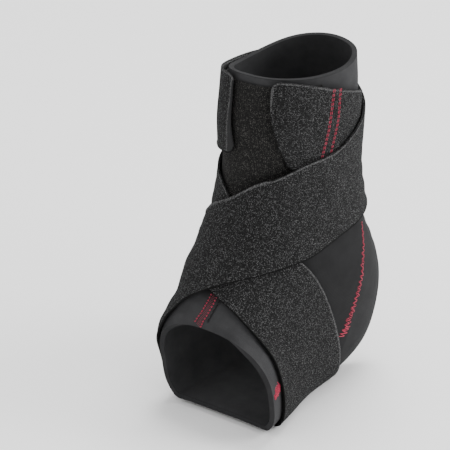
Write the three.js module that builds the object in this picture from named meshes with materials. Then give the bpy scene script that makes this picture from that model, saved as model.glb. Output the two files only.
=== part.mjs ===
// Ankle brace for a left foot, in millimetres, standing flat on its sole.
// +X points to the toes, +Y to the outer side of the foot and +Z up. The origin lies on the floor
// under the middle of the two straps.
import * as THREE from "three";

// Driving dimensions of the sleeve
const braceHeight = 207; // floor to the top edge of the collar
const heelToToeEdge = 142; // back of the heel to the top of the toe opening
const footWidth = 83; // across the foot at the toe opening
const neopreneWall = 3;
const heelHoleHeight = 88; // floor to its upper edge
const heelHoleReach = 42; // back of the heel to its front edge, under the foot
const heelHoleWidth = 54; // round the heel, side to side

// Driving dimensions of what is sewn on
const strapWidth = 56;
const strapThickness = 2;
const strapCornerRadius = 5; // at the free ends
const tabLength = 42; // hook tab under each free end
const tabThickness = 0.6;
const tabInset = 4; // from the edges of the strap
const tabCornerRadius = 3;
const panelThickness = 0.6; // front loop panel
const panelTopInset = 4.5; // smooth band left bare along the collar's edge
const panelHeight = 74;
const panelWidth = 92; // round the front of the collar
const panelCentre = -8; // degrees, to the inner side

// Clearances
const seatGap = 0.5; // between a piece and what it lies on
const drapeRun = 12; // a strap that crosses an edge below it comes down over this length
const drapeLead = 8; // and it stays fully raised this far past that edge

// Numbers of facets
const frontColumns = 30; // round the front, between the two sides of the heel hole
const heelColumns = 10; // across the heel hole
const collarRows = 11;
const heelRows = 9;
const toeRows = 8;
const strapStep = 6.5; // degrees
const strapFacets = 8; // across a strap
const cornerFacets = 3;
const panelRows = 8;
const panelColumns = 15;

const degree = Math.PI / 180;
const soleCentre = 0.62 * heelToToeEdge; // from the back of the heel to the origin
const soleLevel = strapThickness + seatGap; // underside of the sleeve, over the straps
const soleSoftness = 2; // height over which the sides run out into the flat sole
const leanRun = 40; // degrees of strap over which the slant of a free end grows
const endReach = 60; // degrees past a strap's end where its edge can still matter
const halvings = 40; // when a place along the sleeve is searched for

// Rows of numbers under named columns, as one object for each row.
function table(columns, ...rows) {
  return rows.map((row) => Object.fromEntries(columns.split(" ").map((column, i) => [column, row[i]])));
}

// Sections of the sleeve's outside from the collar (along 0) to the toe opening (along 1). They fan
// round the front of the ankle. frontX and backX are shares of heelToToeEdge from the back of the
// heel, frontZ and backZ of braceHeight, outer and inner (half widths) and ridge (sideways shift of
// the front) of footWidth. dip is how far the inner side hangs lower, as a share of braceHeight. The
// squareness of an ellipse is 2.
const sections = table(
  "along frontX frontZ backX backZ outer inner ridge dip frontSquare backSquare",
  [0.0, 0.689, 1.0, 0.151, 0.996, 0.428, 0.423, 0.005, 0.056, 2.0, 2.1],
  [0.14, 0.72, 0.843, 0.125, 0.825, 0.408, 0.43, 0.0, 0.042, 2.0, 2.1],
  [0.28, 0.73, 0.692, 0.128, 0.642, 0.375, 0.417, 0.0, 0.016, 2.1, 2.1],
  [0.4, 0.768, 0.569, 0.084, 0.468, 0.43, 0.44, -0.012, 0.0, 2.2, 2.1],
  [0.52, 0.825, 0.492, -0.017, 0.29, 0.487, 0.456, -0.031, 0.0, 2.3, 2.2],
  [0.62, 0.881, 0.442, 0.011, 0.087, 0.447, 0.47, -0.049, 0.0, 2.3, 2.5],
  [0.72, 0.926, 0.401, 0.227, -0.004, 0.406, 0.466, -0.054, 0.0, 2.3, 2.9],
  [0.82, 0.961, 0.364, 0.484, -0.014, 0.4, 0.46, -0.046, 0.0, 2.3, 3.2],
  [0.91, 0.986, 0.332, 0.688, -0.019, 0.458, 0.471, -0.026, 0.0, 2.3, 3.4],
  [1.0, 1.0, 0.306, 0.892, -0.019, 0.52, 0.463, 0.02, 0.0, 2.3, 3.4],
);

// A natural cubic spline through one column of a table.
function columnSpline(rows, keyColumn, column) {
  const keys = rows.map((row) => row[keyColumn]);
  const values = rows.map((row) => row[column]);
  const last = keys.length - 1;
  const bend = new Array(keys.length).fill(0);
  const carry = new Array(keys.length).fill(0);
  for (let i = 1; i < last; i++) {
    const before = keys[i] - keys[i - 1];
    const after = keys[i + 1] - keys[i];
    const pivot = 2 * (before + after) - before * carry[i - 1];
    carry[i] = after / pivot;
    const turn = (values[i + 1] - values[i]) / after - (values[i] - values[i - 1]) / before;
    bend[i] = (6 * turn - before * bend[i - 1]) / pivot;
  }
  for (let i = last - 1; i > 0; i--) bend[i] -= carry[i] * bend[i + 1];
  return (key) => {
    let i = 0;
    while (i < last - 1 && key > keys[i + 1]) i++;
    const span = keys[i + 1] - keys[i];
    const b = (key - keys[i]) / span;
    const a = 1 - b;
    const sag = (((a ** 3 - a) * bend[i] + (b ** 3 - b) * bend[i + 1]) * span ** 2) / 6;
    return a * values[i] + b * values[i + 1] + sag;
  };
}

function columnSplines(rows, keyColumn) {
  const columns = Object.keys(rows[0]).filter((column) => column !== keyColumn);
  return Object.fromEntries(columns.map((column) => [column, columnSpline(rows, keyColumn, column)]));
}

const sleeveForm = columnSplines(sections, "along");

// Brings heights below the sole up to it, with a soft run-out instead of a crease.
function flattenSole(z) {
  const over = z - soleLevel;
  if (over > soleSoftness) return z;
  if (over < -soleSoftness) return soleLevel;
  return soleLevel + (over + soleSoftness) ** 2 / (4 * soleSoftness);
}

// A point on the sleeve's outside. around is 0 at the front, 90 on the outer side and 180 at the
// back, in degrees, and may run on past a full turn. along runs from the collar to the toe opening.
function sleevePoint(around, along) {
  const cosine = Math.cos(around * degree);
  const sine = Math.sin(around * degree);
  const form = (column) => sleeveForm[column](along);
  const toBack = (1 - cosine) / 2;
  const square = form("frontSquare") + (form("backSquare") - form("frontSquare")) * toBack;
  const reach = (Math.abs(cosine) ** square + Math.abs(sine) ** square) ** (-1 / square);
  const frontX = form("frontX") * heelToToeEdge;
  const backX = form("backX") * heelToToeEdge;
  const frontZ = form("frontZ") * braceHeight;
  const backZ = form("backZ") * braceHeight;
  const halfWidth = (sine > 0 ? form("outer") : form("inner")) * footWidth;
  const dip = form("dip") * braceHeight * ((1 - sine) / 2) ** 4;
  return new THREE.Vector3(
    (frontX + backX) / 2 + ((frontX - backX) / 2) * reach * cosine - soleCentre,
    halfWidth * reach * sine + form("ridge") * footWidth * (1 - toBack),
    flattenSole((frontZ + backZ) / 2 + ((frontZ - backZ) / 2) * reach * cosine - dip),
  );
}

// The sleeve's outward normal, and how many millimetres one degree round and one unit along are.
function sleeveFrame(around, along) {
  const turn = 0.05;
  const slide = 0.001;
  const roundward = sleevePoint(around + turn, along).sub(sleevePoint(around - turn, along));
  const toeward = sleevePoint(around, along + slide).sub(sleevePoint(around, along - slide));
  return {
    normal: new THREE.Vector3().crossVectors(toeward, roundward).normalize(),
    mmAround: roundward.length() / (2 * turn),
    mmAlong: toeward.length() / (2 * slide),
  };
}

// A solid of constant or varying thickness over a patch of the sleeve. A patch has points
// { around, along } and quads of their numbers, counted outward. inside and outside give the two
// faces' distances from the sleeve's outside, outward positive.
function thickPatch(patch, inside, outside) {
  const count = patch.points.length;
  const positions = [];
  for (const face of [outside, inside]) {
    for (const { around, along } of patch.points) {
      const { normal } = sleeveFrame(around, along);
      positions.push(...sleevePoint(around, along).addScaledVector(normal, face(around, along)));
    }
  }
  const index = [];
  const addQuad = (a, b, c, d) => index.push(a, b, c, a, c, d);
  const edges = new Map();
  for (const [a, b, c, d] of patch.quads) {
    addQuad(a, b, c, d);
    addQuad(d + count, c + count, b + count, a + count);
    for (const [from, to] of [[a, b], [b, c], [c, d], [d, a]]) edges.set(`${from} ${to}`, [from, to]);
  }
  for (const [from, to] of edges.values()) {
    const isRim = !edges.has(`${to} ${from}`);
    if (isRim) addQuad(to, from, from + count, to + count);
  }
  const geometry = new THREE.BufferGeometry();
  geometry.setAttribute("position", new THREE.Float32BufferAttribute(positions, 3));
  geometry.setIndex(index);
  geometry.computeVertexNormals();
  return geometry;
}

// Numbers spread evenly from first to last, with both ends.
function evenly(first, last, steps) {
  return Array.from({ length: steps + 1 }, (_, i) => first + ((last - first) * i) / steps);
}

// A rectangular patch: pointAt(i, j) for each row i and column j.
function gridPatch(rows, columns, pointAt) {
  const points = [];
  const quads = [];
  for (let i = 0; i <= rows; i++) {
    for (let j = 0; j <= columns; j++) points.push(pointAt(i, j));
  }
  const number = (i, j) => i * (columns + 1) + j;
  for (let i = 0; i < rows; i++) {
    for (let j = 0; j < columns; j++) {
      quads.push([number(i, j), number(i + 1, j), number(i + 1, j + 1), number(i, j + 1)]);
    }
  }
  return { points, quads };
}

// The place along the back line, between two others, where a measure of its point turns positive.
function alongBack(from, to, measure) {
  let before = from;
  let after = to;
  for (let i = 0; i < halvings; i++) {
    const middle = (before + after) / 2;
    if (measure(sleevePoint(180, middle)) > 0) after = middle;
    else before = middle;
  }
  return after;
}

// The heel hole, centred on the back of the sleeve, as a rounded oval in around and along. The grid
// lines beside it are calm, as elsewhere, from calmAt times its size.
const holeTop = alongBack(0, 0.6, ({ z }) => heelHoleHeight - z);
const holeBottom = alongBack(0.6, 1, ({ x }) => x + soleCentre - heelHoleReach);
const heelHole = {
  along: (holeTop + holeBottom) / 2,
  halfAlong: (holeBottom - holeTop) / 2,
  squareness: 2.3,
  calmAt: 2.2,
};
heelHole.halfAround = heelHoleWidth / 2 / sleeveFrame(180, heelHole.along).mmAround;

// Moves the grid lines beside the heel hole so that its square rim of facets becomes the oval.
function roundHeelHole(around, along) {
  const sideways = (180 - Math.abs(around)) / heelHole.halfAround;
  const lengthways = (along - heelHole.along) / heelHole.halfAlong;
  const ring = Math.max(Math.abs(sideways), Math.abs(lengthways));
  if (ring === 0 || ring > heelHole.calmAt) return { around, along };
  const power = heelHole.squareness;
  const oval = (Math.abs(sideways) ** power + Math.abs(lengthways) ** power) ** (1 / power);
  const calm = THREE.MathUtils.smoothstep(ring, 1, heelHole.calmAt);
  const scale = 1 + (ring / oval - 1) * (1 - calm);
  return {
    around: Math.sign(around) * (180 - sideways * scale * heelHole.halfAround),
    along: heelHole.along + lengthways * scale * heelHole.halfAlong,
  };
}

function sleevePatch() {
  const holeEdge = 180 - heelHole.halfAround;
  const halfHeel = heelColumns / 2;
  const arounds = [
    ...evenly(-180, -holeEdge, halfHeel).slice(0, -1),
    ...evenly(-holeEdge, holeEdge, frontColumns),
    ...evenly(holeEdge, 180, halfHeel).slice(1, -1),
  ];
  const alongs = [
    ...evenly(0, holeTop, collarRows).slice(0, -1),
    ...evenly(holeTop, holeBottom, heelRows),
    ...evenly(holeBottom, 1, toeRows).slice(1),
  ];
  const columns = arounds.length;
  const points = [];
  const numbers = new Map();
  const number = (i, j) => {
    const column = j % columns;
    const key = i * columns + column;
    if (!numbers.has(key)) {
      numbers.set(key, points.length);
      points.push(roundHeelHole(arounds[column], alongs[i]));
    }
    return numbers.get(key);
  };
  const quads = [];
  for (let i = 0; i < alongs.length - 1; i++) {
    for (let j = 0; j < columns; j++) {
      const inHoleRows = i >= collarRows && i < collarRows + heelRows;
      const inHoleColumns = j < halfHeel || j >= halfHeel + frontColumns;
      if (inHoleRows && inHoleColumns) continue;
      quads.push([number(i, j), number(i + 1, j), number(i + 1, j + 1), number(i, j + 1)]);
    }
  }
  return { points, quads };
}

// Routes of the straps' middle lines. around is in degrees and runs on past a full turn, along is
// the sleeve's, and spread is the width measured along the sleeve as a share of strapWidth, more
// than 1 where the strap lies aslant. Each route starts under the sole and ends at the free end.
const innerStrap = {
  turn: -1, // around falls towards the free end
  lean: 18, // degrees by which the free end's lower corner falls short of its upper one
  crossedFrom: -90, // travel from which the outer strap lies over this one
  route: table(
    "around along spread",
    [195, 0.875, 1.0],
    [150, 0.863, 1.12],
    [120, 0.837, 1.17],
    [89, 0.778, 1.07],
    [56, 0.687, 0.98],
    [23, 0.592, 0.91],
    [-8, 0.517, 0.87],
    [-38, 0.442, 0.91],
    [-70, 0.393, 1.06],
    [-110, 0.344, 1.24],
    [-160, 0.299, 1.32],
    [-210, 0.249, 1.25],
    [-251, 0.198, 1.13],
    [-290, 0.149, 1.04],
    [-318, 0.122, 0.98],
    [-338, 0.1145, 0.93],
  ),
};
const outerStrap = {
  turn: 1, // around grows towards the free end
  lean: -7,
  route: table(
    "around along spread",
    [-164, 0.875, 1.0],
    [-135, 0.863, 1.12],
    [-105, 0.835, 1.18],
    [-77, 0.786, 1.24],
    [-52, 0.72, 1.23],
    [-26, 0.609, 1.16],
    [-1, 0.524, 1.04],
    [24, 0.433, 1.02],
    [52, 0.358, 1.14],
    [84, 0.308, 1.09],
    [110, 0.277, 1.16],
    [135, 0.257, 1.13],
    [160, 0.231, 1.11],
    [185, 0.195, 1.06],
    [215, 0.156, 1.0],
    [250, 0.128, 0.92],
    [290, 0.114, 0.86],
    [343, 0.107, 0.83],
  ),
};

// Adds a strap's splines, which run forward whichever way it turns, and the ends of its route.
for (const strap of [innerStrap, outerStrap]) {
  const rows = strap.route.map((row) => ({ ...row, travel: row.around * strap.turn }));
  strap.along = columnSpline(rows, "travel", "along");
  strap.spread = columnSpline(rows, "travel", "spread");
  strap.first = rows[0].travel;
  strap.last = rows[rows.length - 1].travel;
}

// A strap's middle line and half its width, both as places along the sleeve, and how many
// millimetres one unit across the strap and one degree round are there.
function strapAcross(strap, travel, inset) {
  const along = strap.along(travel);
  const spread = strap.spread(travel);
  const { mmAlong, mmAround } = sleeveFrame(travel * strap.turn, along);
  const half = (spread * (strapWidth / 2 - inset)) / mmAlong;
  return { along, half, mmAcross: mmAlong / spread, mmAround };
}

// How far the free end's slant has pushed a point of a strap back, in degrees. across is -1 on the
// upper edge and 1 on the lower one.
function leanAt(strap, travel, across) {
  const fade = THREE.MathUtils.smoothstep(travel, strap.last - leanRun, strap.last);
  return strap.lean * fade * ((across + 1) / 2) ** 2;
}

// A stretch of a strap from one travel to another, narrowed by sideInset, with round corners at its
// far end when cornerRadius isn't 0.
function bandPatch({ strap, from, to, sideInset, cornerRadius }) {
  const end = strapAcross(strap, to, sideInset);
  const cornerTravel = cornerRadius / end.mmAround;
  const steps = Math.ceil((to - cornerTravel - from) / strapStep);
  const stations = evenly(from, to - cornerTravel, steps).map((travel) => ({ travel, inset: 0 }));
  if (cornerRadius > 0) {
    for (const turn of evenly(0, 90, cornerFacets).slice(1)) {
      stations.push({
        travel: to - cornerTravel * (1 - Math.sin(turn * degree)),
        inset: cornerRadius * (1 - Math.cos(turn * degree)),
      });
    }
  }
  if (strap.turn < 0) stations.reverse();
  return gridPatch(strapFacets, stations.length - 1, (i, j) => {
    const { travel, inset } = stations[j];
    const across = (2 * i) / strapFacets - 1;
    const { along, half } = strapAcross(strap, travel, sideInset + inset);
    return {
      around: strap.turn * (travel - leanAt(strap, travel, across)),
      along: along + across * half,
    };
  });
}

// How deep a point lies inside a band, in millimetres: negative outside it.
function depthInBand({ strap, from, to, sideInset }, around, along) {
  let deepest = -Infinity;
  for (const fullTurns of [-2, -1, 0, 1, 2]) {
    const straight = strap.turn * (around + 360 * fullTurns);
    if (straight < from - endReach || straight > to + endReach) continue;
    const near = THREE.MathUtils.clamp(straight, from, to);
    const band = strapAcross(strap, near, sideInset);
    const offset = along - band.along;
    const across = THREE.MathUtils.clamp(offset / band.half, -1, 1);
    const travel = straight + leanAt(strap, near, across);
    const fromSide = (band.half - Math.abs(offset)) * band.mmAcross;
    const fromEnd = Math.min(travel - from, to - travel) * band.mmAround;
    deepest = Math.max(deepest, Math.min(fromSide, fromEnd));
  }
  return deepest;
}

// The bands: each strap whole, and the hook tab sewn under its free end.
function strapBand(strap) {
  return { strap, from: strap.first, to: strap.last, sideInset: 0, cornerRadius: strapCornerRadius };
}
function tabBand(strap) {
  const { mmAround } = strapAcross(strap, strap.last, 0);
  return {
    strap,
    from: strap.last - (tabInset + tabLength) / mmAround,
    to: strap.last - tabInset / mmAround,
    sideInset: tabInset,
    cornerRadius: tabCornerRadius,
  };
}
const innerBand = strapBand(innerStrap);
const crossedBand = { ...innerBand, from: innerStrap.crossedFrom };
const outerBand = strapBand(outerStrap);
const innerTabBand = tabBand(innerStrap);
const outerTabBand = tabBand(outerStrap);

// The loop panel on the front of the collar.
const panelFrame = sleeveFrame(panelCentre, panelTopInset / braceHeight);
const panel = {
  top: panelTopInset / panelFrame.mmAlong,
  bottom: (panelTopInset + panelHeight) / panelFrame.mmAlong,
  halfAround: panelWidth / 2 / panelFrame.mmAround,
};

function depthInPanel(around, along) {
  const fromCentre = around - panelCentre;
  const sideways = Math.abs(fromCentre - 360 * Math.round(fromCentre / 360));
  return Math.min(
    (panel.halfAround - sideways) * panelFrame.mmAround,
    (along - panel.top) * panelFrame.mmAlong,
    (panel.bottom - along) * panelFrame.mmAlong,
  );
}

// How much of its thickness a piece still lends to what crosses it: all over the piece and a
// little past its edge, then running out.
function lift(depth) {
  return THREE.MathUtils.smoothstep(depth, -drapeLead - drapeRun, -drapeLead);
}

// Heights of the pieces' inner faces over the sleeve's outside. Each lies on what is under it.
const overSleeve = () => seatGap;
const overPanel = (around, along) =>
  overSleeve() + lift(depthInPanel(around, along)) * (panelThickness + seatGap);
const overInnerTab = (around, along) =>
  overPanel(around, along) + lift(depthInBand(innerTabBand, around, along)) * (tabThickness + seatGap);
const overInnerStrap = (around, along) =>
  overInnerTab(around, along) + lift(depthInBand(crossedBand, around, along)) * (strapThickness + seatGap);
const overOuterTab = (around, along) =>
  overInnerStrap(around, along) + lift(depthInBand(outerTabBand, around, along)) * (tabThickness + seatGap);

// A piece of one thickness that lies at a height over the sleeve.
function layer(patch, height, thickness) {
  return thickPatch(patch, height, (around, along) => height(around, along) + thickness);
}

function panelPatch() {
  return gridPatch(panelRows, panelColumns, (i, j) => ({
    around: panelCentre + panel.halfAround * ((2 * j) / panelColumns - 1),
    along: panel.top + ((panel.bottom - panel.top) * i) / panelRows,
  }));
}

function finish(color, roughness) {
  return new THREE.MeshStandardMaterial({ color, roughness, metalness: 0 });
}
const neopreneFinish = finish(0x26272a, 0.8);
const loopPileFinish = finish(0x37383b, 0.95);
const panelFinish = finish(0x2c2c2e, 0.95);
const hookFinish = finish(0x161618, 0.7);

const pieces = [
  ["sleeve", thickPatch(sleevePatch(), () => -neopreneWall, () => 0), neopreneFinish],
  ["front_loop_panel", layer(panelPatch(), overSleeve, panelThickness), panelFinish],
  ["inner_strap_hook_tab", layer(bandPatch(innerTabBand), overPanel, tabThickness), hookFinish],
  ["inner_strap", layer(bandPatch(innerBand), overInnerTab, strapThickness), loopPileFinish],
  ["outer_strap_hook_tab", layer(bandPatch(outerTabBand), overInnerStrap, tabThickness), hookFinish],
  ["outer_strap", layer(bandPatch(outerBand), overOuterTab, strapThickness), loopPileFinish],
];

const brace = new THREE.Group();
for (const [name, geometry, material] of pieces) {
  const mesh = new THREE.Mesh(geometry, material);
  mesh.name = name;
  brace.add(mesh);
}

export default brace;
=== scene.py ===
import math
import bpy
import numpy as np
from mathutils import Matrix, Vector


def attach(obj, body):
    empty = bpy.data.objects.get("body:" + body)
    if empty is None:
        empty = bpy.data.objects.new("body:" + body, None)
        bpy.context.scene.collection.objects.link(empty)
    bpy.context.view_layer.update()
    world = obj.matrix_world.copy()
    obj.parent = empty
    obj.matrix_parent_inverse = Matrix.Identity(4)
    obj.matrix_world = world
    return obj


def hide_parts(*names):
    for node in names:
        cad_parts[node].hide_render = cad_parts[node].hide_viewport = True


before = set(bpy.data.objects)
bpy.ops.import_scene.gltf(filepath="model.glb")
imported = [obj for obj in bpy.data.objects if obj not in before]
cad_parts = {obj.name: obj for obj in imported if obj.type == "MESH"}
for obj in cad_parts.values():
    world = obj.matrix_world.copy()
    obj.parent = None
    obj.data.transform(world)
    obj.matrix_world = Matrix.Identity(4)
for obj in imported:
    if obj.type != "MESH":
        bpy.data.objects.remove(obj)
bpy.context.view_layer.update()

# Lengths of the brace are in millimetres, as on a sewing pattern. The meshes, the looks, the camera
# and the lights are in metres.
mm = 0.001


def startClean():
    if bpy.context.object and bpy.context.object.mode != "OBJECT":
        bpy.ops.object.mode_set(mode="OBJECT")
    bpy.ops.object.select_all(action="DESELECT")


startClean()
print("frame loaded")

# Camera, at the angle from which the brace is seen in the picture
viewPlan = {
    "lookAt": (-0.008, 0.0, 0.1),
    "turn": 37.3,  # degrees from the toes' direction to the outer side
    "rise": 26.6,  # degrees over the floor
    "distance": 2.6,
    "lens": 361,
    "sensor": 36,
    "aimRight": -0.0259,  # moves the brace to the right in the picture
    "aimUp": 0.0047,
}


def placeCamera(plan):
    turn, rise = math.radians(plan["turn"]), math.radians(plan["rise"])
    back = Vector((math.cos(turn) * math.cos(rise), math.sin(turn) * math.cos(rise), math.sin(rise)))
    place = Vector(plan["lookAt"]) + back * plan["distance"]
    right = (-back).cross(Vector((0, 0, 1))).normalized()
    up = right.cross(-back)
    aim = Vector(plan["lookAt"]) + right * plan["aimRight"] + up * plan["aimUp"]
    bpy.ops.object.camera_add(location=place, rotation=(aim - place).to_track_quat("-Z", "Y").to_euler())
    camera = bpy.context.object
    camera.name = "pictureCamera"
    camera.data.lens = plan["lens"]
    camera.data.sensor_width = plan["sensor"]
    camera.data.dof.use_dof = False
    bpy.context.scene.camera = camera
    return right, up, back


viewRight, viewUp, viewBack = placeCamera(viewPlan)
print("camera placed")

# The form of the worn sleeve. Each row is a section from the collar (along 0) to the toe opening
# (along 1). frontX and backX are shares of heelToToeEdge, frontZ and backZ of height, outer and
# inner (half widths) and ridge of footWidth. dip is how far the inner side hangs lower, as a share of
# height. The squareness of an ellipse is 2.
formSizes = {
    "height": 207,
    "heelToToeEdge": 142,
    "footWidth": 83,
    "heelToOrigin": 0.62,  # a share of heelToToeEdge
    "soleLevel": 2.5,
    "soleSoftness": 2,
}
formColumns = "frontX frontZ backX backZ outer inner ridge dip frontSquare backSquare".split()
formRows = {
    0.0: (0.689, 1.0, 0.151, 0.996, 0.428, 0.423, 0.005, 0.056, 2.0, 2.1),
    0.14: (0.72, 0.843, 0.125, 0.825, 0.408, 0.43, 0.0, 0.042, 2.0, 2.1),
    0.28: (0.73, 0.692, 0.128, 0.642, 0.375, 0.417, 0.0, 0.016, 2.1, 2.1),
    0.4: (0.768, 0.569, 0.084, 0.468, 0.43, 0.44, -0.012, 0.0, 2.2, 2.1),
    0.52: (0.825, 0.492, -0.017, 0.29, 0.487, 0.456, -0.031, 0.0, 2.3, 2.2),
    0.62: (0.881, 0.442, 0.011, 0.087, 0.447, 0.47, -0.049, 0.0, 2.3, 2.5),
    0.72: (0.926, 0.401, 0.227, -0.004, 0.406, 0.466, -0.054, 0.0, 2.3, 2.9),
    0.82: (0.961, 0.364, 0.484, -0.014, 0.4, 0.46, -0.046, 0.0, 2.3, 3.2),
    0.91: (0.986, 0.332, 0.688, -0.019, 0.458, 0.471, -0.026, 0.0, 2.3, 3.4),
    1.0: (1.0, 0.306, 0.892, -0.019, 0.52, 0.463, 0.02, 0.0, 2.3, 3.4),
}


# A smooth curve through rows of numbers, for as many columns as they have
def smoothCurve(keys, rows):
    keys, rows = np.array(keys, float), np.array(rows, float)
    span = np.diff(keys)
    system, turn = np.eye(len(keys)), np.zeros_like(rows)
    for i in range(1, len(keys) - 1):
        system[i, i - 1 : i + 2] = span[i - 1], 2 * (span[i - 1] + span[i]), span[i]
        turn[i] = 6 * ((rows[i + 1] - rows[i]) / span[i] - (rows[i] - rows[i - 1]) / span[i - 1])
    bend = np.linalg.solve(system, turn)

    def at(key):
        key = np.asarray(key, float)
        i = np.clip(np.searchsorted(keys, key, side="right") - 1, 0, len(span) - 1)
        step = span[i][..., None]
        b = (key - keys[i])[..., None] / step
        a = 1 - b
        sag = ((a**3 - a) * bend[i] + (b**3 - b) * bend[i + 1]) * step**2 / 6
        return a * rows[i] + b * rows[i + 1] + sag

    return at


formCurve = smoothCurve(list(formRows), list(formRows.values()))


def smoothStep(x, low, high):
    t = np.clip((x - low) / (high - low), 0, 1)
    return t * t * (3 - 2 * t)


# A point on the sleeve's outside, in millimetres. around is 0 at the front, 90 on the outer side
# and 180 at the back, in degrees.
def sleevePoint(around, along):
    form = dict(zip(formColumns, np.moveaxis(formCurve(along), -1, 0)))
    cosine, sine = np.cos(np.radians(around)), np.sin(np.radians(around))
    toBack = (1 - cosine) / 2
    square = form["frontSquare"] + (form["backSquare"] - form["frontSquare"]) * toBack
    reach = (np.abs(cosine) ** square + np.abs(sine) ** square) ** (-1 / square)
    long, high, wide = (formSizes[name] for name in ("heelToToeEdge", "height", "footWidth"))
    halfWidth = np.where(sine > 0, form["outer"], form["inner"]) * wide
    fromMiddle = reach * cosine / 2
    x = ((form["frontX"] + form["backX"]) / 2 + (form["frontX"] - form["backX"]) * fromMiddle) * long
    z = ((form["frontZ"] + form["backZ"]) / 2 + (form["frontZ"] - form["backZ"]) * fromMiddle) * high
    y = halfWidth * reach * sine + form["ridge"] * wide * (1 - toBack)
    z -= form["dip"] * high * ((1 - sine) / 2) ** 4
    level, soft = formSizes["soleLevel"], formSizes["soleSoftness"]
    over = np.clip(z - level, -soft, soft)
    z = np.where(z - level > soft, z, level + (over + soft) ** 2 / (4 * soft))
    return np.stack([x - formSizes["heelToOrigin"] * long, y, z], -1)


# The outward direction there, and how many millimetres one degree round and one unit along are
def sleeveFrame(around, along, turn=0.05, slide=0.001):
    roundward = sleevePoint(around + turn, along) - sleevePoint(around - turn, along)
    toeward = sleevePoint(around, along + slide) - sleevePoint(around, along - slide)
    outward = np.cross(toeward, roundward)
    outward /= np.linalg.norm(outward, axis=-1, keepdims=True)
    size = np.linalg.norm(roundward, axis=-1) / (2 * turn), np.linalg.norm(toeward, axis=-1) / (2 * slide)
    return outward, *size


# Slight unevenness of the worn cloth, which everything that lies on the sleeve shares
unevenness = {
    "height": 0.28,
    "creaseHeight": 0.35,
    "creaseSpacing": 9.5,
    "clothLength": 240,
    "behindAnkle": (0.37, 0.1),  # middle and reach of the creases there, along the sleeve
    "inBend": (0.42, 0.12),
    "bendShare": 0.6,
    "flatSole": (3, 14),  # heights over the floor, between which the unevenness sets in
}


def ripples(around, along):
    turn = np.radians(around)
    # waves of unrelated lengths, which together look irregular
    broad = np.sin(3 * turn + 21 * along + 0.6) * np.sin(34 * along - 2 * turn + 1.9)
    broad += 0.6 * np.sin(5 * turn - 13 * along) * np.sin(4 * turn + 47 * along)
    ankle, bend = (
        np.exp(-(((along - unevenness[part][0]) / unevenness[part][1]) ** 2))
        for part in ("behindAnkle", "inBend")
    )
    behindAnkle = smoothStep(np.cos(turn), -0.2, -0.9) * ankle
    inBend = smoothStep(np.cos(turn), 0.35, 0.95) * bend
    creases = unevenness["clothLength"] / unevenness["creaseSpacing"]
    crease = np.sin(2 * math.pi * creases * along + 1.4 * np.sin(2 * turn))
    creased = behindAnkle + unevenness["bendShare"] * inBend
    return unevenness["height"] * broad + unevenness["creaseHeight"] * crease * creased


def clothPoint(around, along, height):
    around, along = np.broadcast_arrays(around, along)
    outward = sleeveFrame(around, along)[0]
    point = sleevePoint(around, along)
    offSole = smoothStep(point[..., 2], *unevenness["flatSole"])
    return point + outward * (height + ripples(around, along) * offSole)[..., None]


# What is sewn on. The straps' routes give the middle line, with around in degrees, running on past a
# full turn, along as a share of the sleeve, and spread, the width measured along the sleeve as a
# share of the strap's own.
strapSizes = {
    "width": 56,
    "thick": 2.2,
    "corner": 5,
    "gap": 0.3,  # to what it lies on
    "lead": 2.0,  # beside a covered piece, where the strap over it is already at its full height
    "run": 26,  # from there out, where it rises to that height
    "collarRun": 10,
    "collarPart": (0.21, 0.3),  # along the sleeve, where the collar's run changes to the other
    "leanRun": 40,  # degrees before the free end, where its lean sets in
}
tabSizes = {"length": 42, "thick": 0.6, "inset": 4, "corner": 3, "cell": 1.4}
# measuredAt is where along the sleeve the panel's width and height are laid off
panelSizes = {"top": 4.5, "height": 74, "width": 92, "centre": -8, "measuredAt": 0.022, "thick": 0.7}
innerStrap = {
    "name": "inner_strap",
    "turn": -1,
    "lean": 18,
    "crossedFrom": -90,
    "route": (
        (195, 0.875, 1.0),
        (150, 0.863, 1.12),
        (120, 0.837, 1.17),
        (89, 0.778, 1.07),
        (56, 0.687, 0.98),
        (23, 0.592, 0.91),
        (-8, 0.517, 0.87),
        (-38, 0.442, 0.91),
        (-70, 0.393, 1.06),
        (-110, 0.344, 1.24),
        (-160, 0.299, 1.32),
        (-210, 0.249, 1.25),
        (-251, 0.198, 1.13),
        (-290, 0.149, 1.04),
        (-318, 0.122, 0.98),
        (-338, 0.1145, 0.93),
    ),
}
outerStrap = {
    "name": "outer_strap",
    "turn": 1,
    "lean": -7,
    "route": (
        (-164, 0.875, 1.0),
        (-135, 0.863, 1.12),
        (-105, 0.835, 1.18),
        (-77, 0.786, 1.24),
        (-52, 0.72, 1.23),
        (-26, 0.608, 1.16),
        (-1, 0.526, 1.03),
        (24, 0.437, 0.98),
        (52, 0.357, 1.15),
        (84, 0.309, 1.08),
        (110, 0.277, 1.16),
        (135, 0.257, 1.13),
        (160, 0.231, 1.11),
        (185, 0.195, 1.06),
        (215, 0.156, 1.0),
        (250, 0.128, 0.92),
        (290, 0.114, 0.86),
        (343, 0.107, 0.83),
    ),
}
for strap in (innerStrap, outerStrap):
    travels = [row[0] * strap["turn"] for row in strap["route"]]
    strap["curve"] = smoothCurve(travels, [row[1:] for row in strap["route"]])
    strap["first"], strap["last"] = travels[0], travels[-1]


# A strap's middle line and half width, as shares of the sleeve, and the local millimetre sizes
def strapAcross(strap, travel, inset=0.0):
    along, spread = np.moveaxis(strap["curve"](travel), -1, 0)
    mmAround, mmAlong = sleeveFrame(travel * strap["turn"], along)[1:]
    half = spread * (strapSizes["width"] / 2 - inset) / mmAlong
    return along, half, mmAlong / spread, mmAround


def leanAt(strap, travel, across):
    fade = smoothStep(travel, strap["last"] - strapSizes["leanRun"], strap["last"])
    return strap["lean"] * fade * ((across + 1) / 2) ** 2


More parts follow.
